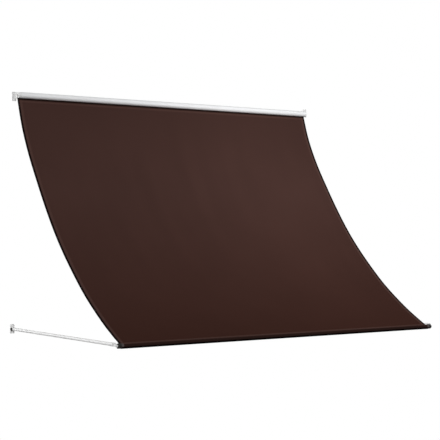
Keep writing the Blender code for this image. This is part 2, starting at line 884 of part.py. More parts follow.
def main():
    clear_scene()
    root = empty("wall_frame", (0.0, 0.0, 0.0))
    roller_axis = empty("roller_axis", (0.0, -ROLLER_OUT, 0.0))
    arm_axis = empty("arm_axis", (0.0, -PIVOT_OUT, PIVOT_Z))
    roller_axis.parent = root
    arm_axis.parent = root
    make_top_brackets(root)
    make_bush(root)
    make_roller(roller_axis)
    make_roller_pin(roller_axis)
    make_spring_unit(root)
    make_low_brackets(root)
    make_pivots(root)
    make_arms(arm_axis)
    make_front_bar(arm_axis)
    make_cloth(root)


main()
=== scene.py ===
"""Looks of a drop-arm window awning: its cloth, its finishes and a plain studio."""

import math

import bpy
from bpy.props import FloatProperty, FloatVectorProperty, IntProperty, PointerProperty
from bpy.types import Operator, Panel, PropertyGroup
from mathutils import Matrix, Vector


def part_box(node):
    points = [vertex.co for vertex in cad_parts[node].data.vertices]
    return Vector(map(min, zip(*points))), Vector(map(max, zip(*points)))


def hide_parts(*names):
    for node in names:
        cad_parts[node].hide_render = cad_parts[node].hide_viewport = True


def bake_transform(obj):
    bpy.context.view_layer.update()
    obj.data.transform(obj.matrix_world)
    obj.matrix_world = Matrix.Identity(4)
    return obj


bl_info = {
    "name": "Window awning",
    "version": (1, 0, 0),
    "blender": (4, 5, 0),
    "location": "3D View > Sidebar > Awning",
    "description": "Builds the cloth, the finishes and the studio of a drop-arm window awning",
    "category": "Object",
}

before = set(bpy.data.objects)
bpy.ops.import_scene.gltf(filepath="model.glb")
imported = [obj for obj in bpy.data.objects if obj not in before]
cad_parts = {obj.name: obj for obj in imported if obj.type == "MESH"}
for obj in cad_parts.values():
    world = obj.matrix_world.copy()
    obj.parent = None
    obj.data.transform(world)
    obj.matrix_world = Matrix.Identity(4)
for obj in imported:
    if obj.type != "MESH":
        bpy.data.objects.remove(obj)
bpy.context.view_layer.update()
CLOTH_LOW, CLOTH_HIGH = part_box("cloth")
ROLLER_LOW, ROLLER_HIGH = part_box("roller_tube")
BAR_LOW, BAR_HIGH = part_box("front_bar")
CAP_LOW, CAP_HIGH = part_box("bar_cap_right")

# The cloth's hang, as shares of its chord and of its sag
SAG_CURVE = (
    (0.0, 0.0),
    (0.11, 0.46),
    (0.25, 0.765),
    (0.51, 1.0),
    (0.73, 0.815),
    (0.88, 0.45),
    (1.0, 0.0),
)
SAG_START_SLOPE = 4.7
SAG_END_SLOPE = -4.15
TANGENT_PASSES = 12

# Rows and columns of the cloth's grid
ROLLER_ROWS = 15
HANG_ROWS = 120
POCKET_ROWS = 30
HEM_COLUMNS = 4
EDGE_STEP = 0.0015
FOLD_STEP = 0.001
SMOOTH_ANGLE = math.radians(40.0)

# The ripples: lengths of their waves, and how far from each side edge they fade away
BROAD_WAVE = 0.73
MIDDLE_WAVE = 0.31
FINE_WAVE = 0.173
EDGE_CALM = 0.16

# Seams and bands along the cloth: from where it leaves the roller, and from the pocket's seam
TOP_SEAM = 0.034
# Half width of the shadow painted on the cloth just under the roller
ROLLER_SHADE = 0.013
SEAM_START = -0.002
# The pocket's top band is painted paler, as a highlight
POCKET_TOP = 0.027
# Past POCKET_FRONT the pocket's underside is painted darker still, as shade
POCKET_FRONT = 0.044
SEAM_RIDGE = 0.008

# How far outwards from its inner edge each side hem is sewn
STITCH_INSET = 0.003

# The canvas: pitch of its threads, depth of its relief and how uneven its tone is
THREAD_PITCH = 0.0008
WEAVE_DEPTH = 0.00005
STITCH_DEPTH = 0.0005
CANVAS_VARY = 0.10

# Tones of single bands, as shares of the colour that each is made from: painted shade near the
# roller, painted shade under the pocket and a painted highlight on the seams' ridges
UPPER_SHADE = 0.86
UNDER_SHADE = 0.4
RIDGE_HIGHLIGHT = 1.15

# How sharply painted bands begin and end, per metre
RIDGE_EDGE = 120.0
SHADE_EDGE = 150.0
UNDER_EDGE = 200.0
POCKET_EDGE = 500.0
HEM_EDGE = 500.0
BINDING_EDGE = 700.0
RING_EDGE = 1500.0

# Where shade is painted into the canvas, darker near the roller and towards the front bar, as
# shares of its length, and how fast
UPPER_TONE_END = 0.24
UPPER_TONE_RATE = 3.0
LOWER_TONE_START = 0.35
LOWER_TONE_RATE = 1.5

# The ring of each bar cap: how far it laps inwards, and how much of the cap it covers
RING_LAP = 0.001
RING_SHARE = 0.55

# Plain colours of small pieces
DUST = (0.42, 0.40, 0.36)
ZINC = (0.56, 0.56, 0.57)
WHITE = (1.0, 1.0, 1.0, 1.0)

# A soft lamp near the cloth, and lights far away: name, direction, spread in degrees, strength
KEY_PLACE = (0.75, -1.25, 0.02)
KEY_RADIUS = 0.35
KEY_POWER = 24.0
FAR_LIGHTS = (
    ("front", (-0.685, -0.690, 0.240), 45.0, 2.55),
    ("left", (-0.940, -0.100, 0.330), 45.0, 0.9),
    ("right", (0.920, -0.280, 0.270), 45.0, 0.6),
    ("rear", (-0.30, 0.95, 0.06), 60.0, 1.6),
)
FAR_DISTANCE = 6.0
WORLD_STRENGTH = 0.08
FLOOR_RADIUS = 60.0
FLOOR_SIDES = 96
FLOOR_GREY = 0.30
VIEW_DEPTH = 200.0


def length_property(name, description, default):
    return FloatProperty(name=name, description=description, default=default, unit="LENGTH")


def angle_property(name, description, degrees):
    return FloatProperty(
        name=name, description=description, default=math.radians(degrees), subtype="ANGLE"
    )


def colour_property(name, description, default):
    return FloatVectorProperty(
        name=name, description=description, default=default, subtype="COLOR", min=0.0, max=1.0
    )


class ClothSizes(PropertyGroup):
    """Sizes of the cloth"""

    width: length_property(
        "Width",
        "Width of the cloth between its two side hems' edges",
        CLOTH_HIGH.x - CLOTH_LOW.x,
    )
    sag: length_property("Sag", "How far the cloth hangs below its straight chord", 0.185)
    thickness: length_property("Thickness", "Thickness of one layer of cloth", 0.001)
    hem: length_property("Side hem", "Width of the folded hem along each side", 0.032)
    clearance: length_property("Clearance", "Gap between the cloth and what it lies on", 0.0003)
    keder_angle: angle_property(
        "Keder angle", "Where the cloth comes out of the roller, above its rear", 60.0
    )
    keder_depth: length_property(
        "Keder depth", "How far the cloth reaches into the roller's groove", 0.0013
    )
    seam: length_property(
        "Pocket seam", "Distance of the pocket's seam from the front bar's axis", 0.024
    )
    flap: length_property(
        "Pocket flap", "Cloth beyond the pocket's seam, on the underside", 0.018
    )
    slack: length_property(
        "Pocket slack", "How far the pocket hangs below the front bar", 0.003
    )
    ripple: length_property("Ripple", "Height of the soft upright ripples", 0.0085)
    columns: IntProperty(
        name="Columns",
        description="Faces across the cloth between its hems",
        default=140,
        min=12,
    )


class AwningColours(PropertyGroup):
    """Colours of the awning's pieces, and the painted shade and highlights on its cloth"""

    cloth: colour_property("Cloth", "Dark brown canvas", (0.0560, 0.0273, 0.0226))
    # Painted shade: the canvas towards the front bar is coloured darker
    shaded_cloth: colour_property(
        "Deep cloth",
        "Canvas towards the front bar, a little deeper in tone",
        (0.0455, 0.0183, 0.0135),
    )
    thread: colour_property("Thread", "Sewing thread of the hems", (0.0450, 0.0200, 0.0155))
    # The hem colour is painted paler than the canvas, as a highlight on the folded side hems and,
    # paler still, on the seams' ridges
    hem: colour_property(
        "Hem",
        "Double layer of canvas along the sides, and the seams' ridges",
        (0.0700, 0.0360, 0.0300),
    )
    # Taken darker still, the same tone is also painted as shade on the pocket's underside
    binding_and_shade: colour_property("Binding", "Dark bound edge of the cloth", (0.0065, 0.0038, 0.0032))
    # Painted shade: this tone darkens the pocket round the front bar and paints a shadow on the
    # cloth just under the roller
    pocket: colour_property(
        "Pocket", "Dark band of the pocket round the front bar", (0.0230, 0.0110, 0.0090)
    )
    roller: colour_property("Roller", "White coat of the roller's tube", (0.85, 0.857, 0.868))
    collar: colour_property(
        "Collars", "Light grey moulding of the roller's ends", (0.80, 0.805, 0.81)
    )
    bracket: colour_property("Brackets", "Grey coat of the wall brackets", (0.70, 0.70, 0.70))
    arm: colour_property("Arms", "Pale coat of the arms", (0.78, 0.782, 0.78))
    ring: colour_property(
        "Cuffs",
        "Paler band where the pocket meets each cap of the front bar",
        (0.085, 0.070, 0.069),
    )
    moulding: colour_property("Caps", "Black moulding of the caps", (0.0075, 0.0060, 0.0052))


class StudioSettings(PropertyGroup):
    """Camera and floor"""

    lens: FloatProperty(
        name="Lens",
        description="Focal length on a 36 mm sensor, in millimetres",
        default=101.66,
    )
    camera: FloatVectorProperty(
        name="Camera",
        description="Where the camera stands",
        default=(-4.777, -7.424, -0.861),
        subtype="XYZ",
        unit="LENGTH",
    )
    yaw: angle_property(
        "Yaw", "How far the camera looks to the right of the wall's normal", 35.03
    )
    pitch: angle_property("Pitch", "How far the camera looks up", 0.314)
    floor: length_property("Floor", "Height of the floor", -2.75)


def deselect():
    if bpy.context.mode != "OBJECT":
        bpy.ops.object.mode_set(mode="OBJECT")
    bpy.ops.object.select_all(action="DESELECT")


def sag_share(s):
    """The cloth's hang at a share of its chord, on a smooth curve through SAG_CURVE."""
    points = SAG_CURVE
    slopes = [SAG_START_SLOPE]
    for (s0, h0), (s1, h1) in zip(points, points[2:]):
        slopes.append((h1 - h0) / (s1 - s0))
    slopes.append(SAG_END_SLOPE)
    i = max(k for k in range(len(points) - 1) if points[k][0] <= s)
    (s0, h0), (s1, h1) = points[i], points[i + 1]
    span = s1 - s0
    t = (s - s0) / span
    return (
        (2 * t**3 - 3 * t**2 + 1) * h0
        + (t**3 - 2 * t**2 + t) * span * slopes[i]
        + (3 * t**2 - 2 * t**3) * h1
        + (t**3 - t**2) * span * slopes[i + 1]
    )


def arc(centre, radius, start, end, steps):
    """Points on an arc across the width; angles run from the wall towards up."""
    angles = [start + (end - start) * i / steps for i in range(steps + 1)]
    return [centre + radius * Vector((math.cos(a), math.sin(a))) for a in angles]


def middle_of(low, high):
    return Vector(((low.y + high.y) / 2, (low.z + high.z) / 2))


def cloth_line(sizes):
    """The cloth's middle line from the groove to the flap, and what is needed to bend it."""
    roller = middle_of(ROLLER_LOW, ROLLER_HIGH)
    bar = middle_of(BAR_LOW, BAR_HIGH)
    roller_radius = (ROLLER_HIGH.y - ROLLER_LOW.y) / 2
    bar_radius = (BAR_HIGH.y - BAR_LOW.y) / 2
    half = sizes.thickness / 2
    wound = roller_radius + sizes.clearance + half
    pocket = bar_radius + sizes.clearance + half
    start, end = roller.copy(), bar.copy()
    for _ in range(TANGENT_PASSES):
        chord = end - start
        angle = math.atan2(-chord.y, -chord.x)
        start_angle = angle + math.atan(SAG_START_SLOPE * sizes.sag / chord.length)
        end_angle = angle + math.atan(SAG_END_SLOPE * sizes.sag / chord.length)
        start = roller + wound * Vector((math.sin(start_angle), -math.cos(start_angle)))
        end = bar + sizes.seam * Vector((math.cos(end_angle), math.sin(end_angle)))
    across = Vector((-chord.y, chord.x)).normalized()
    groove = Vector((math.cos(sizes.keder_angle), math.sin(sizes.keder_angle)))
    line = [roller + (roller_radius - sizes.keder_depth) * groove]
    line += arc(roller, wound, sizes.keder_angle, start_angle - math.pi / 2, ROLLER_ROWS - 1)
    for i in range(1, HANG_ROWS):
        s = i / HANG_ROWS
        line.append(start + s * chord + sizes.sag * sag_share(s) * across)
    seam_row = len(line)
    line.append(end)
    opening = math.acos(pocket / sizes.seam)
    first, last = end_angle + opening, end_angle + 2 * math.pi - opening
    for place in arc(bar, pocket, first, last, POCKET_ROWS):
        below = max(0.0, (bar.y - place.y) / pocket)
        line.append(place - Vector((0.0, sizes.slack * below**2)))
    along = Vector((math.cos(end_angle), math.sin(end_angle)))
    under = Vector((math.sin(end_angle), -math.cos(end_angle)))
    flap = end + (sizes.thickness + sizes.clearance) * under
    line += [flap, flap + sizes.flap / 2 * along, flap + sizes.flap * along]
    return line, seam_row, start, end


def cloth_columns(sizes):
    """Places across the cloth, with a fine step at each folded hem."""
    half = sizes.width / 2
    inner = half - sizes.hem
    edge = [
        -half,
        -half + EDGE_STEP,
        -half + sizes.hem / 2,
        -inner - FOLD_STEP,
        -inner + FOLD_STEP,
    ]
    steps = sizes.columns
    middle = [-inner + 2 * inner * i / steps for i in range(1, steps)]
    return edge + middle + [-x for x in reversed(edge)]


def ripple_height(x, share):
    """Soft upright ripples, strongest in the upper middle and right of the cloth."""
    share = min(1.0, max(0.0, share))
    fade = math.sin(math.pi * share) * (1.0 - share)
    middle_bend = 0.22 * math.sin(3.1 * share + 1.3 * x) + 0.15
    fine_bend = 0.30 * math.sin(4.3 * share - 0.9 * x)
    broad_bend = -0.35 * share
    wave = 0.45 * math.sin(2 * math.pi * (x / MIDDLE_WAVE + middle_bend))
    wave += 0.22 * math.sin(2 * math.pi * (x / FINE_WAVE + fine_bend))
    wave += 0.33 * math.sin(2 * math.pi * (x / BROAD_WAVE + broad_bend))
    patch = 0.55 + 0.45 * math.sin(2.7 * x + 5.0 * share + 0.4)
    right = 0.6 + 0.4 * math.tanh(1.6 * (x + 0.5))
    return 1.6 * fade * wave * patch * right


def edge_calm(x, half):
    """1 inside the cloth, falling smoothly to 0 at its side edges."""
    inwards = min(1.0, (half - abs(x)) / EDGE_CALM)
    return inwards * inwards * (3 - 2 * inwards)


def rear_sides(line):
    """At each point of a line, the direction square to it on its wall side."""
    last = len(line) - 1
    rears = []
    for i in range(last + 1):
        run = (line[min(i + 1, last)] - line[max(i - 1, 0)]).normalized()
        rears.append(Vector((-run.y, run.x)))
    return rears


def thicken(cloth, sizes):
    """Gives the cloth its thickness, with a double layer where its hem group is."""
    thick = cloth.modifiers.new("Thickness", "SOLIDIFY")
    thick.thickness = 2 * sizes.thickness
    thick.offset = 1.0
    thick.vertex_group = "hem"
    thick.thickness_vertex_group = 0.5
    thick.use_even_offset = True
    bpy.ops.object.modifier_apply(modifier=thick.name)
    bpy.ops.object.mode_set(mode="EDIT")
    bpy.ops.mesh.select_all(action="SELECT")
    bpy.ops.mesh.normals_make_consistent(inside=False)
    bpy.ops.object.mode_set(mode="OBJECT")
    bpy.ops.object.shade_smooth_by_angle(angle=SMOOTH_ANGLE)


def hang_cloth(sizes):
    """The cloth as one sheet: a fine grid laid along its line and given its thickness."""
    line, seam_row, start, end = cloth_line(sizes)
    columns = cloth_columns(sizes)
    rows, wide = len(line) - 1, len(columns) - 1
    lengths = [0.0]
    for a, b in zip(line, line[1:]):
        lengths.append(lengths[-1] + (b - a).length)
    rears = rear_sides(line)
    deselect()
    bpy.ops.mesh.primitive_grid_add(x_subdivisions=wide, y_subdivisions=rows, size=2.0)
    cloth = bpy.context.active_object
    cloth.name = "awning_cloth"
    hem = cloth.vertex_groups.new(name="hem")
    half = sizes.thickness / 2
    places = {}
    for v in cloth.data.vertices:
        i = round((v.co.x + 1) / 2 * wide)
        j = round((v.co.y + 1) / 2 * rows)
        places[v.index] = (i, j)
        x = columns[i]
        share = (j - ROLLER_ROWS) / (seam_row - ROLLER_ROWS)
        lift = sizes.ripple * edge_calm(x, sizes.width / 2) * ripple_height(x, share)
        point = line[j] + (lift - half) * rears[j]
        v.co = (x, point.x, point.y)
        if min(i, wide - i) < HEM_COLUMNS and 1 < j < seam_row - 2:
            hem.add([v.index], 1.0, "REPLACE")
    uv = cloth.data.uv_layers.active
    for loop in cloth.data.loops:
        i, j = places[loop.vertex_index]
        uv.data[loop.index].uv = (columns[i], lengths[j])
    thicken(cloth, sizes)
    return cloth, lengths, seam_row, start, end


def new_group(name, inputs, outputs):
    """An empty shader node group with named inputs and outputs."""
    group = bpy.data.node_groups.new(name, "ShaderNodeTree")
    for label, kind, value in inputs:
        socket = group.interface.new_socket(label, in_out="INPUT", socket_type=kind)
        if value is not None:
            socket.default_value = value
    for label in outputs:
        group.interface.new_socket(label, in_out="OUTPUT", socket_type="NodeSocketFloat")
    entry = group.nodes.new("NodeGroupInput")
    leave = group.nodes.new("NodeGroupOutput")
    return group, entry.outputs, leave.inputs


def place_group(tree, name, maker, **values):
    """A node group with its own values, made the first time that it is asked for."""
    node = tree.nodes.new("ShaderNodeGroup")
    node.node_tree = bpy.data.node_groups.get(name) or maker()
    for label, value in values.items():
        node.inputs[label].default_value = value
    return node


def maths(tree, operation, a, b=None, clamp=False):
    """A maths node on numbers or sockets."""
    node = tree.nodes.new("ShaderNodeMath")
    node.operation = operation
    node.use_clamp = clamp
    for socket, value in zip(node.inputs, (a, b)):
        if value is None:
            continue
        if isinstance(value, (int, float)):
            socket.default_value = value
        else:
            tree.links.new(value, socket)
    return node.outputs[0]


def split_axes(tree, vector):
    node = tree.nodes.new("ShaderNodeSeparateXYZ")
    tree.links.new(vector, node.inputs[0])
    return node.outputs


def past(tree, place, start, edge):
    """A mask that rises past a place, or rises before it where the edge is negative."""
    beyond = maths(tree, "SUBTRACT", place, start)
    return maths(tree, "MULTIPLY", beyond, edge, clamp=True)


def band(tree, place, middle, half, edge):
    """A mask that is 1 round a middle and fades towards a half width from it."""
    off = maths(tree, "ABSOLUTE", maths(tree, "SUBTRACT", place, middle))
    inside = maths(tree, "SUBTRACT", half, off)
    return maths(tree, "MULTIPLY", inside, edge, clamp=True)


def noise(tree, vector, scale, detail, roughness=0.5):
    """A noise texture, with a number or a socket for its scale."""
    node = tree.nodes.new("ShaderNodeTexNoise")
    node.inputs["Detail"].default_value = detail
    node.inputs["Roughness"].default_value = roughness
    tree.links.new(vector, node.inputs["Vector"])
    if isinstance(scale, (int, float)):
        node.inputs["Scale"].default_value = scale
    else:
        tree.links.new(scale, node.inputs["Scale"])
    return node.outputs["Fac"]


def stretched(tree, vector, scale):
    node = tree.nodes.new("ShaderNodeMapping")
    node.inputs["Scale"].default_value = scale
    tree.links.new(vector, node.inputs["Vector"])
    return node.outputs["Vector"]


def weave_group():
    """Plain canvas weave with slubs: threads across and along the cloth, from its UV in metres."""
    inputs = [
        ("Vector", "NodeSocketVector", None),
        ("Pitch", "NodeSocketFloat", 0.0008),
        ("Slub", "NodeSocketFloat", 0.5),
    ]
    group, given, made = new_group("canvas weave", inputs, ["Height", "Shade"])
    vector = given["Vector"]
    axes = split_axes(group, vector)
    turns = maths(group, "DIVIDE", 2 * math.pi, given["Pitch"])
    warp = maths(group, "SINE", maths(group, "MULTIPLY", axes["X"], turns))
    weft = maths(group, "SINE", maths(group, "MULTIPLY", axes["Y"], turns))
    cross = maths(group, "MULTIPLY", warp, weft)
    threads = maths(group, "ADD", maths(group, "MULTIPLY", cross, 0.5), 0.5)
    narrow, long = 900.0, 14.0
    warp_slub = noise(group, stretched(group, vector, (narrow, long, 1.0)), scale=1.0, detail=2.0)
    weft_slub = noise(group, stretched(group, vector, (long, narrow, 1.0)), scale=1.0, detail=2.0)
    slubs = maths(group, "ADD", warp_slub, weft_slub)
    slubs = maths(group, "SUBTRACT", slubs, 1.0)
    slubs = maths(group, "MULTIPLY", slubs, given["Slub"])
    height = maths(group, "ADD", threads, slubs)
    cloud = noise(group, vector, scale=2.2, detail=3.0)
    shade = maths(group, "ADD", maths(group, "MULTIPLY", slubs, 0.5), 0.5)
    shade = maths(group, "ADD", shade, maths(group, "SUBTRACT", cloud, 0.5), clamp=True)
    group.links.new(height, made["Height"])
    group.links.new(shade, made["Shade"])
    return group


def stitch_group():
    """A sewn line: one stitch after another along a line, with the cloth drawn in round it."""
    inputs = [
        ("Along", "NodeSocketFloat", 0.0),
        ("Distance", "NodeSocketFloat", 0.0),
        ("Stitch", "NodeSocketFloat", 0.0042),
        ("Thread", "NodeSocketFloat", 0.0006),
    ]
    group, given, made = new_group("sewn line", inputs, ["Mask", "Height"])
    half_stitch, stitch_end = 0.42, 12.0
    pull_reach, pull_depth = 0.004, 0.8
    off = maths(group, "ABSOLUTE", given["Distance"])
    beside = maths(group, "DIVIDE", off, given["Thread"])
    line = maths(group, "SUBTRACT", 1.0, beside, clamp=True)
    phase = maths(group, "FRACT", maths(group, "DIVIDE", given["Along"], given["Stitch"]))
    dash = band(group, phase, 0.5, half_stitch, stitch_end)
    mask = maths(group, "MULTIPLY", line, dash)
    pull = maths(group, "SUBTRACT", 1.0, maths(group, "DIVIDE", off, pull_reach), clamp=True)
    height = maths(group, "SUBTRACT", mask, maths(group, "MULTIPLY", pull, pull_depth))
    group.links.new(mask, made["Mask"])
    group.links.new(height, made["Height"])
    return group


def hem_group():
    """A folded side hem: a dark bound edge, and beside it the double layer, painted paler as a
    highlight.
    """
    inputs = [
        ("Distance", "NodeSocketFloat", 0.0),
        ("Binding", "NodeSocketFloat", 0.013),
        ("Hem", "NodeSocketFloat", 0.032),
    ]
    group, given, made = new_group("side hem", inputs, ["Bound", "Double"])
    inside = maths(group, "SUBTRACT", given["Distance"], given["Binding"])
    inside = maths(group, "MULTIPLY", inside, BINDING_EDGE)
    bound = maths(group, "SUBTRACT", 1.0, inside, clamp=True)
    before = maths(group, "SUBTRACT", given["Hem"], given["Distance"])
    before = maths(group, "MULTIPLY", before, HEM_EDGE)
    before = maths(group, "ADD", before, 0.5, clamp=True)
    double = maths(group, "MULTIPLY", before, maths(group, "SUBTRACT", 1.0, bound))
    group.links.new(bound, made["Bound"])
    group.links.new(double, made["Double"])
    return group


def coat_group():
    """Grain of a coat or moulding: a fine orange peel, broad unevenness and dust on top."""
    inputs = [
        ("Vector", "NodeSocketVector", None),
        ("Scale", "NodeSocketFloat", 900.0),
        ("Dust", "NodeSocketFloat", 0.1),
    ]
    group, given, made = new_group("coat grain", inputs, ["Height", "Shade", "Dust"])
    clean_below = 0.35
    vector = given["Vector"]
    peel = noise(group, vector, given["Scale"], detail=2.0)
    broad = noise(group, vector, scale=7.0, detail=4.0, roughness=0.6)
    patch = noise(group, vector, scale=60.0, detail=5.0, roughness=0.65)
    facing = group.nodes.new("ShaderNodeTexCoord")
    upward = maths(group, "MAXIMUM", split_axes(group, facing.outputs["Normal"])["Z"], 0.0)
    patch = maths(group, "SUBTRACT", patch, clean_below, clamp=True)
    dust = maths(group, "MULTIPLY", upward, patch)
    dust = maths(group, "MULTIPLY", dust, given["Dust"])
    group.links.new(peel, made["Height"])
    group.links.new(broad, made["Shade"])
    group.links.new(dust, made["Dust"])
    return group


def overlaid(tree, factor, under, colour):
    """One colour laid over another by a factor, each of them plain or made by nodes."""
    mix = tree.nodes.new("ShaderNodeMix")
    mix.data_type = "RGBA"
    for socket, value in ((mix.inputs["A"], under), (mix.inputs["B"], colour)):
        if isinstance(value, bpy.types.NodeSocket):
            tree.links.new(value, socket)
        else:
            socket.default_value = (*value, 1.0)
    tree.links.new(factor, mix.inputs["Factor"])
    return mix.outputs["Result"]


def scaled(colour, share):
    return tuple(min(1.0, c * share) for c in colour)


def varied(tree, shade, colour, vary):
    """A colour that grows darker and lighter with a shade."""
    return overlaid(tree, shade, scaled(colour, 1 - vary), scaled(colour, 1 + vary))


def new_material(name):
    """A material, its node tree and its shader."""
    made = bpy.data.materials.new(name)
    made.use_nodes = True
    return made, made.node_tree, made.node_tree.nodes["Principled BSDF"]


def bump(tree, height, strength, distance, before=None):
    """Relief from a height, on top of other relief if there is any."""
    node = tree.nodes.new("ShaderNodeBump")
    node.inputs["Strength"].default_value = strength
    node.inputs["Distance"].default_value = distance
    tree.links.new(height, node.inputs["Height"])
    if before is not None:
        tree.links.new(before, node.inputs["Normal"])
    return node.outputs["Normal"]


def coat(name, colour, roughness, metallic=0.0, grain=900.0, relief=0.00004, vary=0.04, dust=0.15):
    """A painted, plated or moulded finish with its grain, uneven tone and dust."""
    smoother, rougher = 0.06, 0.10
    made, tree, shader = new_material(name)
    where = tree.nodes.new("ShaderNodeTexCoord")
    grained = place_group(tree, "coat grain", coat_group, Scale=grain, Dust=dust)
    tree.links.new(where.outputs["Object"], grained.inputs["Vector"])
    tone = varied(tree, grained.outputs["Shade"], colour, vary)
    dusty = overlaid(tree, grained.outputs["Dust"], tone, DUST)
    tree.links.new(dusty, shader.inputs["Base Color"])
    spread = tree.nodes.new("ShaderNodeMapRange")
    spread.inputs["To Min"].default_value = max(0.02, roughness - smoother)
    spread.inputs["To Max"].default_value = min(1.0, roughness + rougher)
    tree.links.new(grained.outputs["Shade"], spread.inputs["Value"])
    tree.links.new(spread.outputs["Result"], shader.inputs["Roughness"])
    shader.inputs["Metallic"].default_value = metallic
    relieved = bump(tree, grained.outputs["Height"], 0.6, relief)
    tree.links.new(relieved, shader.inputs["Normal"])
    return made


def zinc(name):
    """Zinc plated steel."""
    return coat(name, ZINC, 0.32, metallic=0.95, grain=400.0, relief=0.00002, vary=0.08)


def add_ring(material, near, far, colour):
    """A band round a moulding, between two distances from the awning's middle."""
    tree = material.node_tree
    shader = tree.nodes["Principled BSDF"]
    tone = shader.inputs["Base Color"].links[0].from_socket
    where = tree.nodes.new("ShaderNodeTexCoord")
    sideways = maths(tree, "ABSOLUTE", split_axes(tree, where.outputs["Object"])["X"])
    ring = band(tree, sideways, (near + far) / 2, (far - near) / 2, RING_EDGE)
    tree.links.new(overlaid(tree, ring, tone, colour), shader.inputs["Base Color"])
    return material


def sewn_line(tree, label, along, place):
    """A row of stitches along one axis of the cloth, at a place across it."""
    stitches = place_group(tree, "sewn line", stitch_group)
    stitches.label = label
    tree.links.new(along, stitches.inputs["Along"])
    tree.links.new(place, stitches.inputs["Distance"])
    return stitches.outputs


def canvas_tone(tree, shade, down, colours):
    """Canvas with shade painted into it: a little darker near the roller and towards the front
    bar.
    """
    tone = varied(tree, shade, colours.cloth, CANVAS_VARY)
    deeper = varied(tree, shade, colours.shaded_cloth, CANVAS_VARY)
    upper = past(tree, down, UPPER_TONE_END, -UPPER_TONE_RATE)
    lower = past(tree, down, LOWER_TONE_START, LOWER_TONE_RATE)
    tone = overlaid(tree, upper, tone, scaled(colours.cloth, UPPER_SHADE))
    return overlaid(tree, lower, tone, deeper)


def cloth_material(sizes, colours, top_length, seam_length):
    """Dark brown canvas: weave, slubs, folded and sewn side hems and the sewn pocket, with painted
    shade under the roller, towards both ends and round the pocket, and painted highlights on the
    hems and the seams' ridges.
    """
    made, tree, shader = new_material("brown canvas")
    where = tree.nodes.new("ShaderNodeTexCoord")
    weave = place_group(tree, "canvas weave", weave_group, Pitch=THREAD_PITCH, Slub=0.5)
    tree.links.new(where.outputs["UV"], weave.inputs["Vector"])
    axes = split_axes(tree, where.outputs["UV"])
    sideways, length = maths(tree, "ABSOLUTE", axes["X"]), axes["Y"]

    half = sizes.width / 2
    hem_place = maths(tree, "SUBTRACT", sideways, half - sizes.hem + STITCH_INSET)
    seam_place = maths(tree, "SUBTRACT", length, seam_length)
    hem_stitches = sewn_line(tree, "hem", length, hem_place)
    seam_stitches = sewn_line(tree, "seam", axes["X"], seam_place)
    hem = place_group(tree, "side hem", hem_group, Hem=sizes.hem)
    tree.links.new(maths(tree, "SUBTRACT", half, sideways), hem.inputs["Distance"])

    # A shadow painted on the cloth just under the roller, in the pocket's shade tone
    roller_shadow = band(tree, length, top_length + ROLLER_SHADE, ROLLER_SHADE, SHADE_EDGE)
    # Painted highlights on the ridges of the top seam and of the pocket's top
    top_ridge_highlight = band(tree, length, top_length + TOP_SEAM, 1 / RIDGE_EDGE, RIDGE_EDGE)
    pocket_start = seam_length + SEAM_START
    # The pocket's band, painted darker as shade round the front bar
    pocket = past(tree, length, pocket_start, POCKET_EDGE)
    pocket_middle = pocket_start + POCKET_TOP / 2
    pocket_top_highlight = band(tree, length, pocket_middle, POCKET_TOP / 2 + SEAM_RIDGE, RIDGE_EDGE)
    # Painted shade, darker still, on the pocket's underside
    under = past(tree, length, seam_length + POCKET_FRONT, UNDER_EDGE)
    cuff = maths(tree, "MULTIPLY", hem.outputs["Bound"], maths(tree, "SUBTRACT", pocket, under))

    down = maths(tree, "DIVIDE", length, seam_length)
    tone = canvas_tone(tree, weave.outputs["Shade"], down, colours)
    for mask, colour in (
        (hem.outputs["Double"], colours.hem),
        (roller_shadow, colours.pocket),
        (pocket, colours.pocket),
        (under, scaled(colours.binding_and_shade, UNDER_SHADE)),
        (maths(tree, "MAXIMUM", top_ridge_highlight, pocket_top_highlight), scaled(colours.hem, RIDGE_HIGHLIGHT)),
        (hem.outputs["Bound"], colours.binding_and_shade),
        (cuff, colours.ring),
        (maths(tree, "MAXIMUM", hem_stitches["Mask"], seam_stitches["Mask"]), colours.thread),
    ):
        tone = overlaid(tree, mask, tone, colour)
    tree.links.new(tone, shader.inputs["Base Color"])
    shader.inputs["Roughness"].default_value = 0.85
    shader.inputs["Specular IOR Level"].default_value = 0.02

    woven = bump(tree, weave.outputs["Height"], 0.5, WEAVE_DEPTH)
    raised = maths(tree, "ADD", hem_stitches["Height"], seam_stitches["Height"])
    tree.links.new(bump(tree, raised, 0.7, STITCH_DEPTH, woven), shader.inputs["Normal"])
    return made


def dress(material, *nodes):
    """Gives CAD nodes a finish."""
    for name in nodes:
        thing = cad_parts[name]
        thing.data.materials.clear()
        thing.data.materials.append(material)


def both(*names):
    return [f"{name}_{side}" for name in names for side in ("left", "right")]


class AWNING_OT_cloth(Operator):
    """Hang the cloth from the roller to the front bar"""

    bl_idname = "awning.cloth"
    bl_label = "Hang cloth"

    def execute(self, context):
        sizes, colours = context.scene.awning_cloth, context.scene.awning_colours
        cloth, lengths, seam_row, start, end = hang_cloth(sizes)
        canvas = cloth_material(sizes, colours, lengths[ROLLER_ROWS], lengths[seam_row])
        cloth.data.materials.append(canvas)
        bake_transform(cloth)
        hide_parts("cloth")
        return {"FINISHED"}


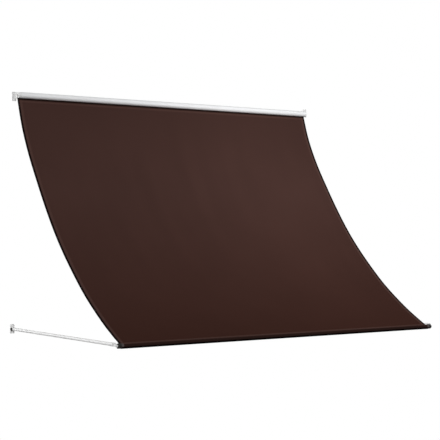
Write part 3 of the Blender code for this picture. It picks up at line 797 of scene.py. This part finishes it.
class AWNING_OT_roller(Operator):
    """Finish the roller, its end collars and its spring unit"""

    bl_idname = "awning.roller"
    bl_label = "Finish roller"

    def execute(self, context):
        colours = context.scene.awning_colours
        dress(coat("white roller coat", colours.roller, 0.34), "roller_tube")
        collar = coat("grey collar moulding", colours.collar, 0.5, grain=1400.0)
        dress(collar, *both("roller_plug"), "spring_anchor")
        dress(coat("pale bush moulding", (0.68, 0.68, 0.66), 0.5), "roller_bush")
        dress(coat("keder cord", (0.06, 0.045, 0.04), 0.6), "keder_rod")
        dress(zinc("zinc plated steel"), "roller_pin", "spring_axle")
        wire = coat(
            "oiled spring wire",
            (0.20, 0.20, 0.205),
            0.35,
            metallic=0.9,
            grain=700.0,
            relief=0.00002,
            vary=0.10,
        )
        dress(wire, "roller_spring")
        return {"FINISHED"}


class AWNING_OT_brackets(Operator):
    """Finish the four wall brackets and the arms' pivots"""

    bl_idname = "awning.brackets"
    bl_label = "Finish brackets"

    def execute(self, context):
        colours = context.scene.awning_colours
        for name, colour, bracket in (
            ("grey bracket coat", colours.bracket, "top_bracket"),
            ("pale bracket coat", scaled(colours.bracket, 1.2), "low_bracket"),
        ):
            dress(coat(name, colour, 0.42, grain=700.0, vary=0.05), *both(bracket))
        dress(zinc("zinc pivot steel"), *both("pivot_bolt", "pivot_nut"))
        washer = coat("black washer moulding", (0.03, 0.03, 0.03), 0.55)
        dress(washer, *both("friction_washer_inner", "friction_washer_outer"))
        cap = coat("black pivot cap", scaled(colours.moulding, 1.4), 0.42, dust=0.25)
        dress(cap, *both("pivot_cap"))
        return {"FINISHED"}


class AWNING_OT_arms(Operator):
    """Finish the two arms and their end fittings"""

    bl_idname = "awning.arms"
    bl_label = "Finish arms"

    def execute(self, context):
        colours = context.scene.awning_colours
        dress(coat("pale arm coat", colours.arm, 0.36), *both("arm"))
        fitting = coat("cast fitting coat", scaled(colours.arm, 0.88), 0.5, grain=500.0, vary=0.06)
        dress(fitting, *both("arm_inner_end", "arm_outer_end"))
        return {"FINISHED"}


class AWNING_OT_bar(Operator):
    """Finish the front bar, its caps and bolts"""

    bl_idname = "awning.bar"
    bl_label = "Finish front bar"

    def execute(self, context):
        colours = context.scene.awning_colours
        mill = coat(
            "mill finish bar",
            (0.55, 0.56, 0.57),
            0.35,
            metallic=0.9,
            grain=300.0,
            relief=0.00002,
            vary=0.06,
        )
        dress(mill, "front_bar")
        black = coat("black bar cap", colours.moulding, 0.38, grain=1100.0, dust=0.2)
        near = CAP_LOW.x - RING_LAP
        far = CAP_LOW.x + RING_SHARE * (CAP_HIGH.x - CAP_LOW.x)
        dress(add_ring(black, near, far, colours.ring), *both("bar_cap"))
        dress(zinc("zinc bar bolt"), *both("bar_bolt"))
        return {"FINISHED"}


def add_near_light(name, place, radius, power):
    """A soft lamp close to the cloth, out of the camera's sight."""
    deselect()
    bpy.ops.object.light_add(type="POINT", location=place)
    light = bpy.context.active_object
    light.name = name
    light.data.shadow_soft_size = radius
    light.data.energy = power
    light.visible_camera = False


def add_far_light(name, towards, spread, strength):
    """Soft light without falloff, from the direction given."""
    deselect()
    bpy.ops.object.light_add(type="SUN", location=FAR_DISTANCE * Vector(towards))
    light = bpy.context.active_object
    light.name = name
    light.data.angle = math.radians(spread)
    light.data.energy = strength
    light.rotation_mode = "QUATERNION"
    light.rotation_quaternion = (-Vector(towards)).to_track_quat("-Z", "Y")


def lit_and_seen(tree, lit, seen):
    """One shader for the light that it gives back, and another for what the camera sees."""
    path = tree.nodes.new("ShaderNodeLightPath")
    mix = tree.nodes.new("ShaderNodeMixShader")
    tree.links.new(path.outputs["Is Camera Ray"], mix.inputs["Fac"])
    tree.links.new(lit.outputs[0], mix.inputs[1])
    tree.links.new(seen.outputs[0], mix.inputs[2])
    return mix.outputs["Shader"]


def studio_world():
    """A white surround that lights softly."""
    world = bpy.data.worlds.new("white surround")
    world.use_nodes = True
    tree = world.node_tree
    plain = tree.nodes["Background"]
    seen = tree.nodes.new("ShaderNodeBackground")
    for background, strength in ((plain, WORLD_STRENGTH), (seen, 1.0)):
        background.inputs["Color"].default_value = WHITE
        background.inputs["Strength"].default_value = strength
    surface = lit_and_seen(tree, plain, seen)
    tree.links.new(surface, tree.nodes["World Output"].inputs["Surface"])
    bpy.context.scene.world = world


def studio_floor(height):
    """A wide pale floor that the camera sees as plain white."""
    deselect()
    bpy.ops.mesh.primitive_circle_add(
        vertices=FLOOR_SIDES, radius=FLOOR_RADIUS, fill_type="NGON", location=(0.0, 0.0, height)
    )
    floor = bpy.context.active_object
    floor.name = "studio_floor"
    pale, tree, shader = new_material("pale floor")
    shader.inputs["Base Color"].default_value = (FLOOR_GREY, FLOOR_GREY, FLOOR_GREY, 1.0)
    shader.inputs["Roughness"].default_value = 0.9
    shader.inputs["Specular IOR Level"].default_value = 0.0
    seen = tree.nodes.new("ShaderNodeEmission")
    seen.inputs["Color"].default_value = WHITE
    surface = lit_and_seen(tree, shader, seen)
    tree.links.new(surface, tree.nodes["Material Output"].inputs["Surface"])
    floor.data.materials.append(pale)


def studio_camera(studio):
    """The camera at the photograph's viewing angle."""
    deselect()
    bpy.ops.object.camera_add(location=studio.camera)
    camera = bpy.context.active_object
    camera.name = "camera"
    flat = math.cos(studio.pitch)
    ahead = Vector(
        (math.sin(studio.yaw) * flat, math.cos(studio.yaw) * flat, math.sin(studio.pitch))
    )
    camera.rotation_mode = "QUATERNION"
    camera.rotation_quaternion = ahead.to_track_quat("-Z", "Y")
    camera.data.sensor_width = 36.0
    camera.data.lens = studio.lens
    camera.data.clip_end = VIEW_DEPTH
    bpy.context.scene.camera = camera


class AWNING_OT_stage(Operator):
    """Set up the floor, the soft light and the camera"""

    bl_idname = "awning.stage"
    bl_label = "Set up studio"

    def execute(self, context):
        studio = context.scene.awning_studio
        studio_world()
        studio_floor(studio.floor)
        context.scene.view_settings.view_transform = "Standard"
        add_near_light("key", KEY_PLACE, KEY_RADIUS, KEY_POWER)
        for name, towards, spread, strength in FAR_LIGHTS:
            add_far_light(name, towards, spread, strength)
        studio_camera(studio)
        return {"FINISHED"}


class AWNING_PT_panel(Panel):
    """Lists the awning's pieces in the order they are made"""

    bl_idname = "AWNING_PT_panel"
    bl_label = "Window awning"
    bl_space_type = "VIEW_3D"
    bl_region_type = "UI"
    bl_category = "Awning"

    def draw(self, context):
        for operator in OPERATORS:
            self.layout.operator(operator.bl_idname)
        for name in ("awning_cloth", "awning_colours", "awning_studio"):
            box = self.layout.box()
            group = getattr(context.scene, name)
            for label in group.__annotations__:
                box.prop(group, label)


OPERATORS = (
    AWNING_OT_cloth,
    AWNING_OT_roller,
    AWNING_OT_brackets,
    AWNING_OT_arms,
    AWNING_OT_bar,
    AWNING_OT_stage,
)
CLASSES = (ClothSizes, AwningColours, StudioSettings, *OPERATORS, AWNING_PT_panel)


def register():
    for item in CLASSES:
        bpy.utils.register_class(item)
    bpy.types.Scene.awning_cloth = PointerProperty(type=ClothSizes)
    bpy.types.Scene.awning_colours = PointerProperty(type=AwningColours)
    bpy.types.Scene.awning_studio = PointerProperty(type=StudioSettings)


def unregister():
    del bpy.types.Scene.awning_studio
    del bpy.types.Scene.awning_colours
    del bpy.types.Scene.awning_cloth
    for item in reversed(CLASSES):
        bpy.utils.unregister_class(item)


def main():
    register()
    bpy.ops.awning.cloth()
    bpy.ops.awning.roller()
    bpy.ops.awning.brackets()
    bpy.ops.awning.arms()
    bpy.ops.awning.bar()
    bpy.ops.awning.stage()


if __name__ == "__main__":
    main()
